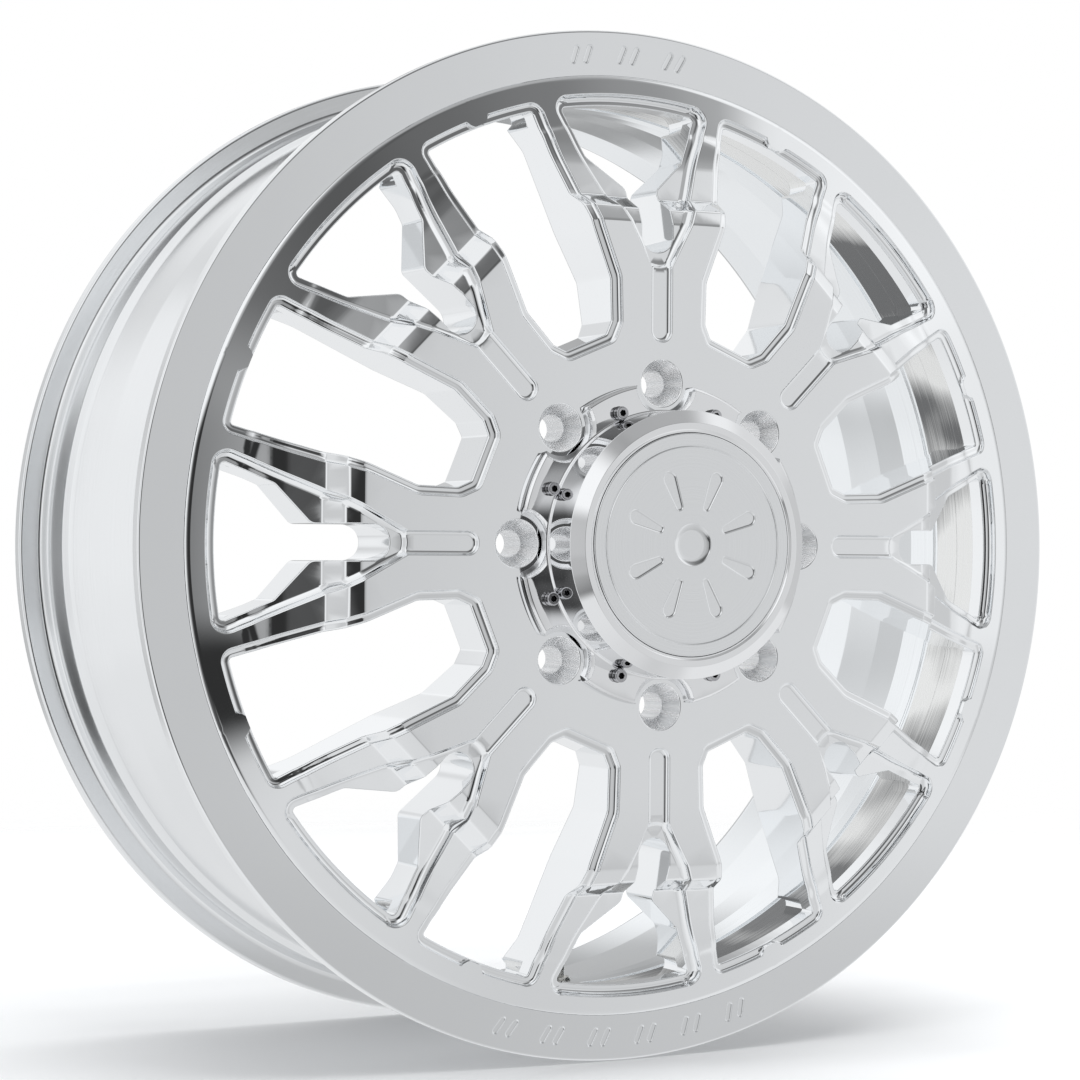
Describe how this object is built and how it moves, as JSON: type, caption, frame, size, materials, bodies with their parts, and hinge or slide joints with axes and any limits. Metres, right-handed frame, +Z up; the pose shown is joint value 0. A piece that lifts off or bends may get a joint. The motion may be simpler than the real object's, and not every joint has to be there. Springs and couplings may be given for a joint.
{
  "type": "forged truck wheel rim",
  "caption": "Polished forged wheel rim with Y-shaped spokes, a stepped disc, a bolt-on centre cap and a clamp-in tyre valve in a drop-centre barrel.",
  "frame": {"origin": "middle of the wheel's box, on the axle", "axes": "+Y along the axle towards the vehicle, so the face looks along -Y; +Z up, with the valve at the bottom"},
  "size_m": [0.6494, 0.318, 0.6494],
  "materials": {
    "polished_forging": "mirror polished, chrome-like",
    "polished_barrel": "mirror polished, fine turning marks",
    "polished_cap": "mirror polished, chrome-like",
    "brushed_badge": "satin, turned face",
    "screw_steel": "bright steel, black socket",
    "nickel_brass": "nickel plated",
    "nickel_steel": "nickel plated",
    "bare_brass": "bare turned brass",
    "spring_steel": "bright wire",
    "black_rubber": "matt"
  },
  "bodies": {
    "wheel": {"forged_center": "polished_forging", "rim_barrel": "polished_barrel", "valve_stem": "nickel_brass", "valve_grommet": "black_rubber", "valve_washer": "nickel_steel", "valve_core_body": "bare_brass", "valve_core_spring": "spring_steel"},
    "cap": {"center_cap": "polished_cap", "cap_badge_disc": "brushed_badge", "cap_seal_ring": "black_rubber"},
    "cap_screw_1": {"cap_screw_1": "screw_steel"},
    "cap_screw_2": {"cap_screw_2": "screw_steel"},
    "cap_screw_3": {"cap_screw_3": "screw_steel"},
    "cap_screw_4": {"cap_screw_4": "screw_steel"},
    "cap_screw_5": {"cap_screw_5": "screw_steel"},
    "cap_screw_6": {"cap_screw_6": "screw_steel"},
    "cap_screw_7": {"cap_screw_7": "screw_steel"},
    "cap_screw_8": {"cap_screw_8": "screw_steel"},
    "valve_nut": {"valve_nut": "nickel_brass"},
    "valve_pin": {"valve_core_pin": "bare_brass"},
    "valve_cap": {"valve_cap": "nickel_brass", "valve_cap_seal": "black_rubber"}
  },
  "joints": [
    {"name": "cap_pull", "type": "slide", "parent": "wheel", "child": "cap", "axis": [0, -1, 0], "range_m": [0, 0.05]},
    {"name": "cap_screw_1_undo", "type": "slide", "parent": "cap", "child": "cap_screw_1", "axis": [0, -1, 0], "range_m": [0, 0.014]},
    {"name": "cap_screw_2_undo", "type": "slide", "parent": "cap", "child": "cap_screw_2", "axis": [0, -1, 0], "range_m": [0, 0.014]},
    {"name": "cap_screw_3_undo", "type": "slide", "parent": "cap", "child": "cap_screw_3", "axis": [0, -1, 0], "range_m": [0, 0.014]},
    {"name": "cap_screw_4_undo", "type": "slide", "parent": "cap", "child": "cap_screw_4", "axis": [0, -1, 0], "range_m": [0, 0.014]},
    {"name": "cap_screw_5_undo", "type": "slide", "parent": "cap", "child": "cap_screw_5", "axis": [0, -1, 0], "range_m": [0, 0.014]},
    {"name": "cap_screw_6_undo", "type": "slide", "parent": "cap", "child": "cap_screw_6", "axis": [0, -1, 0], "range_m": [0, 0.014]},
    {"name": "cap_screw_7_undo", "type": "slide", "parent": "cap", "child": "cap_screw_7", "axis": [0, -1, 0], "range_m": [0, 0.014]},
    {"name": "cap_screw_8_undo", "type": "slide", "parent": "cap", "child": "cap_screw_8", "axis": [0, -1, 0], "range_m": [0, 0.014]},
    {"name": "valve_nut_undo", "type": "slide", "parent": "wheel", "child": "valve_nut", "axis": [0, 0, 1], "range_m": [0, 0.012]},
    {"name": "valve_pin_press", "type": "slide", "parent": "wheel", "child": "valve_pin", "axis": [0, 0, -1], "range_m": [0, 0.0012], "stiffness_N_per_m": 600, "springref_m": -0.003, "deforming": ["valve_core_spring"]},
    {"name": "valve_cap_undo", "type": "slide", "parent": "wheel", "child": "valve_cap", "axis": [0, 0, 1], "range_m": [0, 0.009]}
  ]
}
